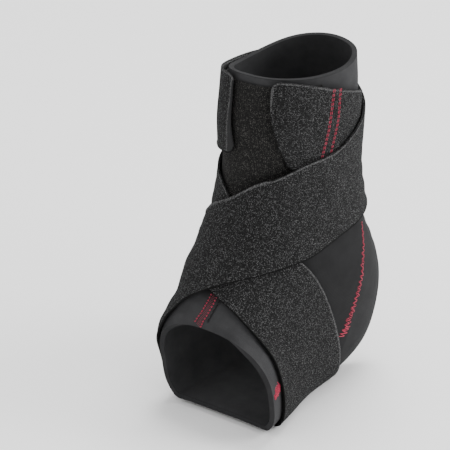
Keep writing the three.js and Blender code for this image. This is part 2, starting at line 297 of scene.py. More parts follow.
def depthInBand(band, around, along):
    strap, first, last, inset = band["strap"], band["first"], band["last"], band["inset"]
    deepest = np.full(np.broadcast(around, along).shape, -1e3)
    for fullTurns in (-2, -1, 0, 1, 2):
        straight = strap["turn"] * (around + 360 * fullTurns)
        near = np.clip(straight, first, last)
        middle, half, mmAcross, mmAround = strapAcross(strap, near, inset)
        across = np.clip((along - middle) / half, -1, 1)
        travel = straight + leanAt(strap, near, across)
        fromSide = (half - np.abs(along - middle)) * mmAcross
        fromEnd = np.minimum(travel - first, last - travel) * mmAround
        deepest = np.maximum(deepest, np.minimum(fromSide, fromEnd))
    return deepest


def strapBand(strap, first=None):
    return {
        "strap": strap,
        "first": strap["first"] if first is None else first,
        "last": strap["last"],
        "inset": 0,
        "corner": strapSizes["corner"],
    }


def tabBand(strap):
    mmAround = float(strapAcross(strap, strap["last"])[3])
    return {
        "strap": strap,
        "first": strap["last"] - (tabSizes["inset"] + tabSizes["length"]) / mmAround,
        "last": strap["last"] - tabSizes["inset"] / mmAround,
        "inset": tabSizes["inset"],
        "corner": tabSizes["corner"],
    }


innerBand, outerBand = strapBand(innerStrap), strapBand(outerStrap)
crossedBand = strapBand(innerStrap, innerStrap["crossedFrom"])
innerTab, outerTab = tabBand(innerStrap), tabBand(outerStrap)
panelRound, panelAlong = map(float, sleeveFrame(panelSizes["centre"], panelSizes["measuredAt"])[1:])


def depthInPanel(around, along):
    sideways = np.abs((around - panelSizes["centre"] + 180) % 360 - 180) * panelRound
    down = along * panelAlong - panelSizes["top"]
    return np.minimum(panelSizes["width"] / 2 - sideways, np.minimum(down, panelSizes["height"] - down))


def lent(depth, thick, run=strapSizes["run"]):
    return smoothStep(depth, -strapSizes["lead"] - run, -strapSizes["lead"]) * (thick + strapSizes["gap"])


# Heights of the pieces' inner faces over the sleeve. Each lies on what is under it.
def overSleeve(around, along):
    return np.full(np.broadcast(around, along).shape, strapSizes["gap"])


def overPanel(around, along):
    return overSleeve(around, along) + lent(depthInPanel(around, along), panelSizes["thick"])


def overInnerTab(around, along):
    return overPanel(around, along) + lent(depthInBand(innerTab, around, along), tabSizes["thick"])


# The straps lie closer round the collar than over the instep
def overInnerStrap(around, along):
    closer = 1 - smoothStep(along, *strapSizes["collarPart"])
    run = strapSizes["run"] + (strapSizes["collarRun"] - strapSizes["run"]) * closer
    crossed = lent(depthInBand(crossedBand, around, along), strapSizes["thick"], run)
    return overInnerTab(around, along) + crossed


def overOuterTab(around, along):
    return overInnerStrap(around, along) + lent(depthInBand(outerTab, around, along), tabSizes["thick"])


print("form and routes ready")


# Shader nodes: inputs are sockets or plain values
def put(tree, kind, inputs=None, **settings):
    node = tree.nodes.new(kind)
    for name, value in settings.items():
        setattr(node, name, value)
    for name, value in (inputs or {}).items():
        if isinstance(value, bpy.types.NodeSocket):
            tree.links.new(value, node.inputs[name])
        else:
            node.inputs[name].default_value = value
    return node


def calculate(tree, operation, first, second=0.0):
    return put(tree, "ShaderNodeMath", {0: first, 1: second}, operation=operation).outputs[0]


def times(tree, first, second):
    return calculate(tree, "MULTIPLY", first, second)


def plus(tree, first, second):
    return calculate(tree, "ADD", first, second)


def band(tree, value, low, high):
    node = put(tree, "ShaderNodeMapRange", {"Value": value, "From Min": low, "From Max": high})
    return node.outputs["Result"]


def blend(tree, amount, dark, light):
    node = put(tree, "ShaderNodeMix", {0: amount, 6: dark, 7: light}, data_type="RGBA")
    return node.outputs[2]


# A group takes a place and one size, and gives values
def startGroup(name, size):
    group = bpy.data.node_groups.new(name, "ShaderNodeTree")
    group.interface.new_socket("Vector", in_out="INPUT", socket_type="NodeSocketVector")
    group.interface.new_socket(size, in_out="INPUT", socket_type="NodeSocketFloat")
    return group, group.nodes.new("NodeGroupInput").outputs


def finishGroup(group, given):
    for name in given:
        group.interface.new_socket(name, in_out="OUTPUT", socket_type="NodeSocketFloat")
    put(group, "NodeGroupOutput", given)
    return group


# Curled pile: a shade of its own for each loop, its round top, and the relief
curlLook = {
    "ownShade": 0.6,
    "fibres": 0.9,
    "fibreFineness": 1.7,
    "clumps": 0.12,
    "clumpFineness": 0.16,
    "top": (0.62, 0.2),  # from a loop's rim to its middle
    "topHeight": 0.6,
}


def makePileGroup(look):
    group, taken = startGroup("curledPile", "Loop Size")
    place = taken["Vector"]
    scale = calculate(group, "DIVIDE", 1.0, taken["Loop Size"])
    loops = put(group, "ShaderNodeTexVoronoi", {"Vector": place, "Scale": scale})
    ownShade = put(group, "ShaderNodeSeparateColor", {0: loops.outputs["Color"]}).outputs[0]
    fineness = times(group, scale, look["fibreFineness"])
    fine = {"Vector": place, "Scale": fineness, "Detail": 2.0, "Roughness": 0.65}
    fibres = put(group, "ShaderNodeTexNoise", fine).outputs["Fac"]
    coarse = {"Vector": place, "Scale": times(group, scale, look["clumpFineness"]), "Detail": 1.0}
    clumps = put(group, "ShaderNodeTexNoise", coarse).outputs["Fac"]
    mixed = plus(group, times(group, ownShade, look["ownShade"]), times(group, fibres, look["fibres"]))
    shade = plus(group, mixed, times(group, clumps, look["clumps"]))
    top = band(group, loops.outputs["Distance"], *look["top"])
    relief = plus(group, times(group, top, look["topHeight"]), fibres)
    return finishGroup(group, {"Shade": shade, "Top": top, "Relief": relief})


# Fine jersey knit: columns of small slanting stitches
jerseyLook = {"slant": 1.8, "stitchHeight": 0.35}


def makeKnitGroup(look):
    group, taken = startGroup("jerseyKnit", "Stitch Size")
    parts = put(group, "ShaderNodeSeparateXYZ", {0: taken["Vector"]})
    scale = calculate(group, "DIVIDE", 2 * math.pi, taken["Stitch Size"])
    across = times(group, parts.outputs["X"], scale)
    rib = calculate(group, "ABSOLUTE", calculate(group, "SINE", times(group, across, 0.5)))
    slant = times(group, rib, look["slant"])
    stitch = calculate(group, "SINE", plus(group, times(group, parts.outputs["Y"], scale), slant))
    relief = plus(group, rib, times(group, stitch, look["stitchHeight"]))
    return finishGroup(group, {"Relief": relief})


# Uneven dye and a little lint
wearLook = {
    "dye": (0.3, 0.7),
    "speckFineness": 5.0,
    "speck": (0.1, 0.04),
    "spreadFineness": 3.0,
    "spread": (0.56, 0.64),  # where there is lint at all
}


def makeWearGroup(look):
    group, taken = startGroup("dyeAndLint", "Patch Size")
    place = taken["Vector"]
    scale = calculate(group, "DIVIDE", 1.0, taken["Patch Size"])
    broad = {"Vector": place, "Scale": scale, "Detail": 4.0, "Roughness": 0.6}
    patches = put(group, "ShaderNodeTexNoise", broad).outputs["Fac"]
    dye = band(group, patches, *look["dye"])
    fine = {"Vector": place, "Scale": times(group, scale, look["speckFineness"])}
    specks = put(group, "ShaderNodeTexVoronoi", fine).outputs["Distance"]
    middling = {"Vector": place, "Scale": times(group, scale, look["spreadFineness"])}
    spread = put(group, "ShaderNodeTexNoise", middling).outputs["Fac"]
    lint = times(group, band(group, specks, *look["speck"]), band(group, spread, *look["spread"]))
    return finishGroup(group, {"Dye": dye, "Lint": lint})


pileGroup = makePileGroup(curlLook)
knitGroup = makeKnitGroup(jerseyLook)
wearGroup = makeWearGroup(wearLook)


def startMaterial(name, roughness, sheen, sheenRoughness=0.5, specular=0.3):
    material = bpy.data.materials.new(name)
    material.use_nodes = True
    tree = material.node_tree
    shader = tree.nodes["Principled BSDF"]
    shader.inputs["Roughness"].default_value = roughness
    shader.inputs["Sheen Weight"].default_value = sheen
    shader.inputs["Sheen Roughness"].default_value = sheenRoughness
    shader.inputs["Specular IOR Level"].default_value = specular
    return material, tree, shader


def useGroup(tree, group, inputs):
    return put(tree, "ShaderNodeGroup", inputs, node_tree=group)


def useWear(tree, place, look):
    return useGroup(tree, wearGroup, {"Vector": place.outputs["Object"], "Patch Size": look["dyePatch"]})


def giveSurface(tree, shader, colour, height, relief):
    tree.links.new(colour, shader.inputs["Base Color"])
    node = put(tree, "ShaderNodeBump", {"Height": height, "Distance": relief, "Strength": 1.0})
    tree.links.new(node.outputs["Normal"], shader.inputs["Normal"])


# Lengths in the looks are in metres, along or round the flat cloth
knitLook = {
    "dark": (0.026, 0.026, 0.027, 1),
    "light": (0.04, 0.04, 0.0415, 1),
    "lint": (0.09, 0.09, 0.09, 1),
    "lintShare": 0.35,
    # the colour of the painted shade on the heel and of the darkened cut edges
    "foamAndShadeBlack": (0.001, 0.001, 0.001, 1),
    "dyePatch": 0.012,
    "stitch": 0.0007,
    "stitchShare": 0.3,
    "relief": 0.00006,
    "length": 0.25,
    "heelFrom": 0.09,  # from the collar's edge
    "heelTo": 0.19,
    "heelFade": 0.006,
    "seamFromFront": 0.069,  # where the heel's side panel is sewn to its back
    "seamBend": 8.2,
    "seamFade": 0.0004,
    # painted shade: how far the heel's back and side panels are darkened
    "backPaintedShade": 0.4,
    "sidePaintedShade": 0.57,
    # the cut edges' darkening, partly foam and partly painted shade
    "rim": (0.0008, 0.0001),
    "rimFoamAndShade": 0.35,
}


def makeNeoprene(look):
    material, tree, shader = startMaterial("neopreneKnit", roughness=0.85, sheen=0.01, specular=0.05)
    place = put(tree, "ShaderNodeTexCoord")
    wear = useWear(tree, place, look)
    knit = useGroup(tree, knitGroup, {"Vector": place.outputs["UV"], "Stitch Size": look["stitch"]})
    dyed = blend(tree, wear.outputs["Dye"], look["dark"], look["light"])
    ribbed = blend(tree, times(tree, knit.outputs["Relief"], look["stitchShare"]), dyed, look["light"])
    linted = blend(tree, times(tree, wear.outputs["Lint"], look["lintShare"]), ribbed, look["lint"])
    # the panels round the heel are painted darker, as painted shade, the side ones most
    cut = put(tree, "ShaderNodeSeparateXYZ", {0: place.outputs["UV"]})
    fromMiddle = calculate(tree, "SUBTRACT", cut.outputs["Y"], (look["heelFrom"] + look["heelTo"]) / 2)
    bend = times(tree, calculate(tree, "POWER", fromMiddle, 2.0), look["seamBend"])
    seam = plus(tree, bend, look["seamFromFront"])
    toFront = calculate(tree, "SUBTRACT", seam, calculate(tree, "ABSOLUTE", cut.outputs["X"]))
    onSide = band(tree, toFront, -look["seamFade"], look["seamFade"])
    ofSide = times(tree, onSide, look["sidePaintedShade"] - look["backPaintedShade"])
    fade = look["heelFade"]
    down = band(tree, cut.outputs["Y"], look["heelFrom"] - fade, look["heelFrom"] + fade)
    up = band(tree, cut.outputs["Y"], look["heelTo"] + fade, look["heelTo"] - fade)
    inHeel = times(tree, down, up)
    shade = times(tree, inHeel, plus(tree, ofSide, look["backPaintedShade"]))
    # the cut edges at the collar and the toes are painted darker: partly the foam between the two knits,
    # partly painted shade against the top light
    fromEdge = calculate(tree, "PINGPONG", cut.outputs["Y"], look["length"] / 2)
    rim = times(tree, band(tree, fromEdge, *look["rim"]), look["rimFoamAndShade"])
    darkest = calculate(tree, "MAXIMUM", rim, shade)
    shown = blend(tree, darkest, linted, look["foamAndShadeBlack"])
    giveSurface(tree, shader, shown, knit.outputs["Relief"], look["relief"])
    return material


def makePile(name, look):
    material, tree, shader = startMaterial(name, 0.95, look["sheen"], sheenRoughness=0.6, specular=0.04)
    place = put(tree, "ShaderNodeTexCoord")
    pile = useGroup(tree, pileGroup, {"Vector": place.outputs["Object"], "Loop Size": look["loop"]})
    wear = useWear(tree, place, look)
    ground = blend(tree, wear.outputs["Dye"], look["dark"], look["ground"])
    # painted shade in the gaps between the loops; the pale tops are partly pale fibre, partly painted
    # highlight
    gapShaded = blend(tree, pile.outputs["Top"], look["gap"], ground)
    paleness = band(tree, pile.outputs["Shade"], *look["tipShades"])
    tipped = blend(tree, times(tree, paleness, pile.outputs["Top"]), gapShaded, look["tip"])
    # the upper edge and the free end have a painted highlight, a paler line
    cut = put(tree, "ShaderNodeSeparateXYZ", {0: place.outputs["UV"]})
    fromEnd, fromLower = cut.outputs["X"], cut.outputs["Y"]
    toUpper = calculate(tree, "SUBTRACT", look["width"], fromLower)
    upper = times(tree, band(tree, toUpper, *look["highlightFrom"]), band(tree, toUpper, *look["highlightTo"]))
    line = calculate(tree, "MAXIMUM", upper, band(tree, fromEnd, *look["endHighlight"]))
    line = times(tree, line, band(tree, pile.outputs["Shade"], *look["highlightShades"]))
    # crosswise ribs show where the webbing is pressed flat towards its free end; dark stripes across them
    # are painted shade
    wave = calculate(tree, "SINE", times(tree, fromEnd, 2 * math.pi / look["rib"]))
    pressed = times(tree, band(tree, fromEnd, *look["pressed"]), look["ribShade"])
    ribbed = blend(tree, times(tree, band(tree, wave, *look["ribSides"]), pressed), tipped, look["gap"])
    highlighted = blend(tree, times(tree, line, look["edge"]), ribbed, look["tip"])
    # the end's cut face is plain, and the lower edge has a painted shadow
    ended = blend(tree, band(tree, fromEnd, *look["endWall"]), highlighted, look["ground"])
    shown = blend(tree, band(tree, fromLower, *look["lowerEdgeShadow"]), ended, look["edgeShadowColour"])
    giveSurface(tree, shader, shown, pile.outputs["Relief"], look["relief"])
    return material


strapLook = {
    "dark": (0.02, 0.02, 0.0206, 1),
    "ground": (0.029, 0.029, 0.0298, 1),
    # the gap colour is painted shade between the loops; the pale tip colour is partly pale fibre and
    # partly painted highlight on the loop tops, and colours the painted highlight line
    "gap": (0.008, 0.008, 0.008, 1),
    "tip": (0.235, 0.235, 0.238, 1),
    "tipShades": (0.84, 1.12),  # loops of these shades have a pale top
    "dyePatch": 0.018,
    "loop": 0.00046,
    "relief": 0.0006,
    "sheen": 0.02,
    "width": 0.056,
    # edge: how pale the painted highlight along the upper edge and the free end is
    "edge": 0.4,  # how pale the line is
    "highlightFrom": (0.0013, 0.0008),  # its two sides, from the upper edge
    "highlightTo": (0.0001, 0.0003),
    "endHighlight": (0.0016, 0.001),  # from the free end
    "highlightShades": (0.55, 0.9),
    "endWall": (0.0003, 0.0001),
    # the band of painted shadow along the lower edge, and its colour
    "lowerEdgeShadow": (0.0012, 0.0006),
    "edgeShadowColour": (0.004, 0.004, 0.004, 1),
    "rib": 0.003,
    "ribSides": (0.2, 0.8),
    "ribShade": 0.6,
    "pressed": (0.015, 0.005),  # from the free end
}
panelLook = dict(strapLook, dark=(0.013, 0.0125, 0.0118, 1), ground=(0.018, 0.0173, 0.0164, 1))
panelLook.update(tip=(0.14, 0.134, 0.126, 1), width=0.074, relief=0.0005, edge=0.05, ribShade=0.0)

hookLook = {
    "dark": (0.008, 0.008, 0.008, 1),
    "ground": (0.014, 0.014, 0.014, 1),
    "hook": (0.05, 0.05, 0.05, 1),
    "dyePatch": 0.01,
    "hooksInMetre": 800.0,
    "scatter": 0.25,
    "stem": (0.25, 0.1),
    "relief": -0.0004,
}


def makeHook(look):
    material, tree, shader = startMaterial("hookTape", roughness=0.5, sheen=0.1, specular=0.4)
    place = put(tree, "ShaderNodeTexCoord")
    rows = {"Vector": place.outputs["UV"], "Scale": look["hooksInMetre"], "Randomness": look["scatter"]}
    hooks = put(tree, "ShaderNodeTexVoronoi", rows).outputs["Distance"]
    wear = useWear(tree, place, look)
    ground = blend(tree, wear.outputs["Dye"], look["dark"], look["ground"])
    shown = blend(tree, band(tree, hooks, *look["stem"]), ground, look["hook"])
    giveSurface(tree, shader, shown, hooks, look["relief"])
    return material


# Twisted thread: slanting plies, from the thread's own place along and round it. The grooves between the
# plies are painted deep, as painted shade.
redLook = {
    "deep": (0.1, 0.003, 0.01, 1),
    "bright": (0.42, 0.016, 0.055, 1),
    "fuzz": (0.52, 0.11, 0.16, 1),
    "fuzzShare": 0.5,
    "dyePatch": 0.002,
    "plyAlong": 4400.0,  # radians in a metre of thread
    "plyRound": 3142.0,  # the pattern is a thousandth wide, so this is half a turn
    "relief": 0.00008,
}
# the black thread is painted shade: it marks the shadow of the fold beside the instep seam
foldShadowLook = dict(redLook, deep=(0.002, 0.002, 0.002, 1), bright=(0.004, 0.004, 0.004, 1))
foldShadowLook.update(fuzz=(0.008, 0.008, 0.008, 1))


def makeThread(name, look):
    material, tree, shader = startMaterial(name, 0.6, 0.02, sheenRoughness=0.35, specular=0.2)
    place = put(tree, "ShaderNodeTexCoord")
    parts = put(tree, "ShaderNodeSeparateXYZ", {0: place.outputs["UV"]})
    turned = times(tree, parts.outputs["Y"], look["plyRound"])
    slant = plus(tree, times(tree, parts.outputs["X"], look["plyAlong"]), turned)
    plies = calculate(tree, "ABSOLUTE", calculate(tree, "SINE", slant))
    wear = useWear(tree, place, look)
    worn = blend(tree, times(tree, wear.outputs["Dye"], look["fuzzShare"]), look["bright"], look["fuzz"])
    shown = blend(tree, plies, look["deep"], worn)
    giveSurface(tree, shader, shown, plies, look["relief"])
    return material


finishes = {
    "neoprene": makeNeoprene(knitLook),
    "loop_pile": makePile("loopPile", strapLook),
    "panel_pile": makePile("panelPile", panelLook),
    "hook_tape": makeHook(hookLook),
    "red_thread": makeThread("redThread", redLook),
    "black_thread": makeThread("foldShadowThread", foldShadowLook),
}
print("materials ready")


def readPoints(piece):
    points = np.empty(len(piece.data.vertices) * 3, np.float32)
    piece.data.vertices.foreach_get("co", points)
    return points.reshape(-1, 3).astype(float)


def writePoints(piece, points):
    piece.data.vertices.foreach_set("co", points.astype(np.float32).ravel())
    piece.data.update()


def finishPiece(piece, slot, smoothAngle=50):
    piece.data.materials.clear()
    piece.data.materials.append(finishes[slot])
    startClean()
    piece.select_set(True)
    bpy.context.view_layer.objects.active = piece
    bpy.ops.object.shade_smooth_by_angle(angle=math.radians(smoothAngle))
    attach(piece, "root")


# A flat grid of cloth, laid on the form. Rows run from the toe side up and columns round the form.
# cut is each point's place on the flat cloth.
def layCloth(name, points, cut):
    startClean()
    rows, columns = points.shape[:2]
    bpy.ops.mesh.primitive_grid_add(x_subdivisions=columns - 1, y_subdivisions=rows - 1, size=1)
    cloth = bpy.context.object
    cloth.name = cloth.data.name = name
    writePoints(cloth, points.reshape(-1, 3) * mm)
    pattern = cloth.data.uv_layers[0]
    pattern.name = "cut"
    corners = np.empty(len(cloth.data.loops), np.int32)
    cloth.data.loops.foreach_get("vertex_index", corners)
    pattern.uv.foreach_set("vector", (cut.reshape(-1, 2)[corners] * mm).astype(np.float32).ravel())
    return cloth


def giveThickness(cloth, thick, offset):
    wall = cloth.modifiers.new("thickness", "SOLIDIFY")
    wall.thickness, wall.offset, wall.use_quality_normals = thick * mm, offset, True
    bpy.ops.object.modifier_apply(modifier=wall.name)


def roundEdges(cloth, width, segments=3):
    edge = cloth.modifiers.new("edges", "BEVEL")
    edge.limit_method, edge.angle_limit = "ANGLE", math.radians(50)
    edge.width, edge.segments = width * mm, segments
    bpy.ops.object.modifier_apply(modifier=edge.name)


# Moves the outer face of a cloth that has its thickness by a lift for each point
def raiseFace(cloth, lift):
    points = readPoints(cloth)
    inner, outer = np.split(points, 2)
    direction = outer - inner
    outer += direction / np.linalg.norm(direction, axis=1, keepdims=True) * lift[:, None] * mm
    writePoints(cloth, np.concatenate([inner, outer]))


# Fuzz of about this height, and a few stray loops that stand higher
def pileLift(shape, seed, height, strayShare=0.04, strayHeight=1.6):
    random = np.random.default_rng(seed)
    fuzz = random.normal(0, height, shape)
    stray = random.random(shape) < strayShare
    return np.clip(fuzz, -2 * height, 2 * height) + stray * strayHeight * height


# How far along a line each of its points is
def runningLength(line):
    return np.concatenate([[0], np.cumsum(np.linalg.norm(np.diff(line, axis=0), axis=1))])


# Even steps between marks, with a count for each span
def evenSteps(marks, counts):
    spans = [np.linspace(*span, count + 1)[:-1] for *span, count in zip(marks, marks[1:], counts)]
    return np.append(np.concatenate(spans), marks[-1])


# The sleeve: a tube with an open toe and a heel hole
sleeveSizes = {
    "wall": 3,
    "holeHeight": 88,  # floor to the hole's upper edge
    "holeReach": 42,  # back of the heel to its front edge
    "holeWidth": 54,
    "squareness": 2.3,
    "calmAt": 2.2,  # times the hole's size, from where the rows and columns run straight
    "heelAt": 0.6,  # share of the sleeve's length, where its back turns under the foot
    "roundFront": 240,  # from side to side of the hole
    "aboveHole": 105,
    "besideHole": 80,
    "belowHole": 66,
    "flatGirth": 240,
    "flatLength": 250,
    "edge": 1.0,
    "cell": 1.3,
}


def makeSleeve(sizes):
    upper, lower = np.linspace(0, sizes["heelAt"], 3001), np.linspace(sizes["heelAt"], 1, 2001)
    holeTop = np.interp(-sizes["holeHeight"], -sleevePoint(180, upper)[:, 2], upper)
    backToOrigin = formSizes["heelToOrigin"] * formSizes["heelToToeEdge"]
    holeBottom = np.interp(sizes["holeReach"], sleevePoint(180, lower)[:, 0] + backToOrigin, lower)
    middle, halfAlong = (holeTop + holeBottom) / 2, (holeBottom - holeTop) / 2
    halfAround = sizes["holeWidth"] / 2 / float(sleeveFrame(180, middle)[1])
    cell = sizes["cell"]
    heel, front = round(sizes["holeWidth"] / 2 / cell), round(sizes["roundFront"] / cell)
    edge = 180 - halfAround
    columns = evenSteps([-180, -edge, edge, 180], [heel, front, heel])
    rowCounts = [round(sizes[part] / cell) for part in ("aboveHole", "besideHole", "belowHole")]
    rows = evenSteps([0, holeTop, holeBottom, 1], rowCounts)[::-1]
    around, along = np.meshgrid(columns, rows)
    # beside the hole, rows and columns bend into its oval
    sideways, lengthways = (180 - np.abs(around)) / halfAround, (along - middle) / halfAlong
    ring = np.maximum(np.abs(sideways), np.abs(lengthways))
    power = sizes["squareness"]
    oval = (np.abs(sideways) ** power + np.abs(lengthways) ** power) ** (1 / power)
    calm = smoothStep(ring, 1, sizes["calmAt"])
    scale = 1 + (ring / np.maximum(oval, 1e-9) - 1) * (1 - calm)
    around = np.where(around < 0, -1, 1) * (180 - sideways * scale * halfAround)
    along = middle + lengthways * scale * halfAlong
    cut = np.stack([around / 360 * sizes["flatGirth"], along * sizes["flatLength"]], -1)
    cloth = layCloth("sleeve_cloth", clothPoint(around, along, 0), cut)
    corners = np.empty(len(cloth.data.loops), np.int32)
    cloth.data.loops.foreach_get("vertex_index", corners)
    faceRow = (corners.reshape(-1, 4) // len(columns)).mean(1)
    faceColumn = (corners.reshape(-1, 4) % len(columns)).mean(1)
    inRows = (faceRow > rowCounts[2]) & (faceRow < rowCounts[2] + rowCounts[1])
    inHole = inRows & ((faceColumn < heel) | (faceColumn > heel + front))
    bpy.context.tool_settings.mesh_select_mode = (False, False, True)
    cloth.data.polygons.foreach_set("select", inHole)
    bpy.ops.object.mode_set(mode="EDIT")
    bpy.ops.mesh.delete(type="FACE")
    bpy.ops.mesh.select_all(action="SELECT")
    bpy.ops.mesh.remove_doubles(threshold=0.00001)
    bpy.ops.object.mode_set(mode="OBJECT")
    giveThickness(cloth, sizes["wall"], -1)
    roundEdges(cloth, sizes["edge"])
    finishPiece(cloth, "neoprene")
    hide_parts("sleeve")
    return cloth


sleeve = makeSleeve(sleeveSizes)
print("sleeve made", len(sleeve.data.polygons))


# Distances of a band's outermost rows of points from its long edges
edgeSteps = [0, 0.3, 0.75, 1.3, 2]


# A band of cloth along a strap's route, with each point's distance from the nearest edge and from the
# free end, and its flat size in metres
def bandCloth(name, strapPart, height, thick, cell, cornerFacets=8, fineness=900):
    strap, inset, corner = strapPart["strap"], strapPart["inset"], strapPart["corner"]
    fine = np.linspace(strapPart["first"], strapPart["last"], fineness)
    middle = strapAcross(strap, fine)[0]
    line = clothPoint(fine * strap["turn"], middle, height(fine * strap["turn"], middle))
    length = runningLength(line)
    cornerStart = length[-1] - corner
    travel = np.interp(np.linspace(0, cornerStart, round(cornerStart / cell) + 1), length, fine)
    turns = np.radians(np.linspace(0, 90, cornerFacets + 1)[1:])
    travel = np.append(travel, np.interp(length[-1] - corner * (1 - np.sin(turns)), length, fine))
    narrowed = np.append(np.zeros(len(travel) - cornerFacets), corner * (1 - np.cos(turns)))
    width = strapSizes["width"] - 2 * inset
    inside = np.linspace(edgeSteps[-1], width - edgeSteps[-1], round(width / cell) - 3)
    fromEdge = np.concatenate([edgeSteps[:-1], inside, width - np.array(edgeSteps[-2::-1])])
    across = 1 - 2 * fromEdge / width
    along, half = strapAcross(strap, travel, inset + narrowed)[:2]
    travel = travel[None] - leanAt(strap, travel[None], across[:, None])
    along = along[None] + across[:, None] * half[None]
    around = travel * strap["turn"]
    fromEnd = length[-1] - np.interp(travel, fine, length)
    cut = np.stack([fromEnd, np.broadcast_to(fromEdge[:, None], fromEnd.shape)], -1)
    if strap["turn"] < 0:
        around, along, cut = around[:, ::-1], along[:, ::-1], cut[:, ::-1]
    cloth = layCloth(name, clothPoint(around, along, height(around, along)), cut)
    giveThickness(cloth, thick, 1)
    fromEnd, fromLower = cut[..., 0], cut[..., 1]
    depth = np.minimum(np.minimum(fromLower, width - fromLower), fromEnd)
    return cloth, depth, fromEnd, (width * mm, length[-1] * mm)


# The crosswise ribs are higher near the free end
strapPile = {
    "cell": 0.95,
    "fuzz": 0.1,
    "ribs": 0.05,
    "endRibs": 0.13,
    "endReach": 28,
    "ribSpacing": 2.6,
    "softEdge": 4,
    "edgeDrop": 1.1,
    "edgePower": 1.7,
}


def makeStrap(strapPart, height, seed, pile=strapPile):
    name = strapPart["strap"]["name"]
    thick, cell = strapSizes["thick"], pile["cell"]
    cloth, depth, fromEnd, flat = bandCloth(name + "_cloth", strapPart, height, thick, cell)
    soft = np.clip(depth / pile["softEdge"], 0, 1)
    ribs = pile["ribs"] + pile["endRibs"] * np.exp(-((fromEnd / pile["endReach"]) ** 2))
    ribs *= np.sin(2 * math.pi * fromEnd / pile["ribSpacing"])
    drop = (1 - soft) ** pile["edgePower"] * pile["edgeDrop"]
    lift = (pileLift(depth.shape, seed, pile["fuzz"]) + ribs) * soft**0.5 - drop
    raiseFace(cloth, lift.ravel())
    points = readPoints(cloth)
    points[:, 2] = np.maximum(points[:, 2], 0)
    writePoints(cloth, points)
    finishPiece(cloth, "loop_pile")
    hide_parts(name)
    print(name, "made", len(cloth.data.polygons), flat)
    return cloth, flat


def makeTab(tabPart, height):
    name = tabPart["strap"]["name"] + "_hook_tab"
    cloth = bandCloth(name + "_cloth", tabPart, height, tabSizes["thick"], tabSizes["cell"], 4)[0]
    finishPiece(cloth, "hook_tape")
    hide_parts(name)
    return cloth


panelPile = {"cell": 0.95, "fuzz": 0.07, "softEdge": 2, "edgeDrop": 0.3}


def makePanel(sizes, seed, pile=panelPile):
    width, height = sizes["width"], sizes["height"]
    halfAround = width / 2 / panelRound
    columns = np.linspace(-halfAround, halfAround, round(width / pile["cell"]) + 1) + sizes["centre"]
    down = np.linspace(height, 0, round(height / pile["cell"]) + 1)
    around, down = np.meshgrid(columns, down)
    along = (sizes["top"] + down) / panelAlong
    sideways = (around - sizes["centre"]) * panelRound + width / 2
    cut = np.stack([sideways, height - down], -1)
    cloth = layCloth("front_loop_panel_cloth", clothPoint(around, along, overSleeve(around, along)), cut)
    giveThickness(cloth, sizes["thick"], 1)
    depth = np.minimum(np.minimum(sideways, width - sideways), np.minimum(down, height - down))
    soft = np.clip(depth / pile["softEdge"], 0, 1)
    lift = pileLift(depth.shape, seed, pile["fuzz"]) * soft - (1 - soft) * pile["edgeDrop"]
    raiseFace(cloth, lift.ravel())
    finishPiece(cloth, "panel_pile")
    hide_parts("front_loop_panel")
    return cloth


panel = makePanel(panelSizes, seed=5)
innerTabCloth = makeTab(innerTab, overPanel)
innerCloth, innerFlat = makeStrap(innerBand, overInnerTab, seed=11)
outerTabCloth = makeTab(outerTab, overInnerStrap)
outerCloth, outerFlat = makeStrap(outerBand, overOuterTab, seed=12)
print("straps made")

# Stitches are short threads laid on the cloth, with their ends in it. A seam follows rows of around
# and along. Places on it are millimetres along it and to its side.
def seamLine(seam, fineness=500):
    curve = smoothCurve(range(len(seam)), seam)
    around, along = curve(np.linspace(0, len(seam) - 1, fineness)).T
    return around, along, runningLength(clothPoint(around, along, 0.0))


def lengthOf(seam):
    return seamLine(seam)[2][-1]


def placesOn(seam, distance, aside):
    around, along, length = seamLine(seam)
    mmAround, mmAlong = sleeveFrame(around, along)[1:]
    heading = np.stack([np.gradient(around) * mmAround, np.gradient(along) * mmAlong])
    heading /= np.linalg.norm(heading, axis=0)
    columns = (around, along, *heading, mmAround, mmAlong)
    around, along, aroundward, alongward, mmAround, mmAlong = (
        np.interp(distance, length, column) for column in columns
    )
    return np.stack([around - aside * alongward / mmAround, along + aside * aroundward / mmAlong], -1)


# A thread's height over the face and the depth of its ends in the cloth, as shares of its thickness,
# and how suddenly it dives and thins
threadForm = {"height": 0.35, "depth": 1.3, "dive": 5, "taper": 3}


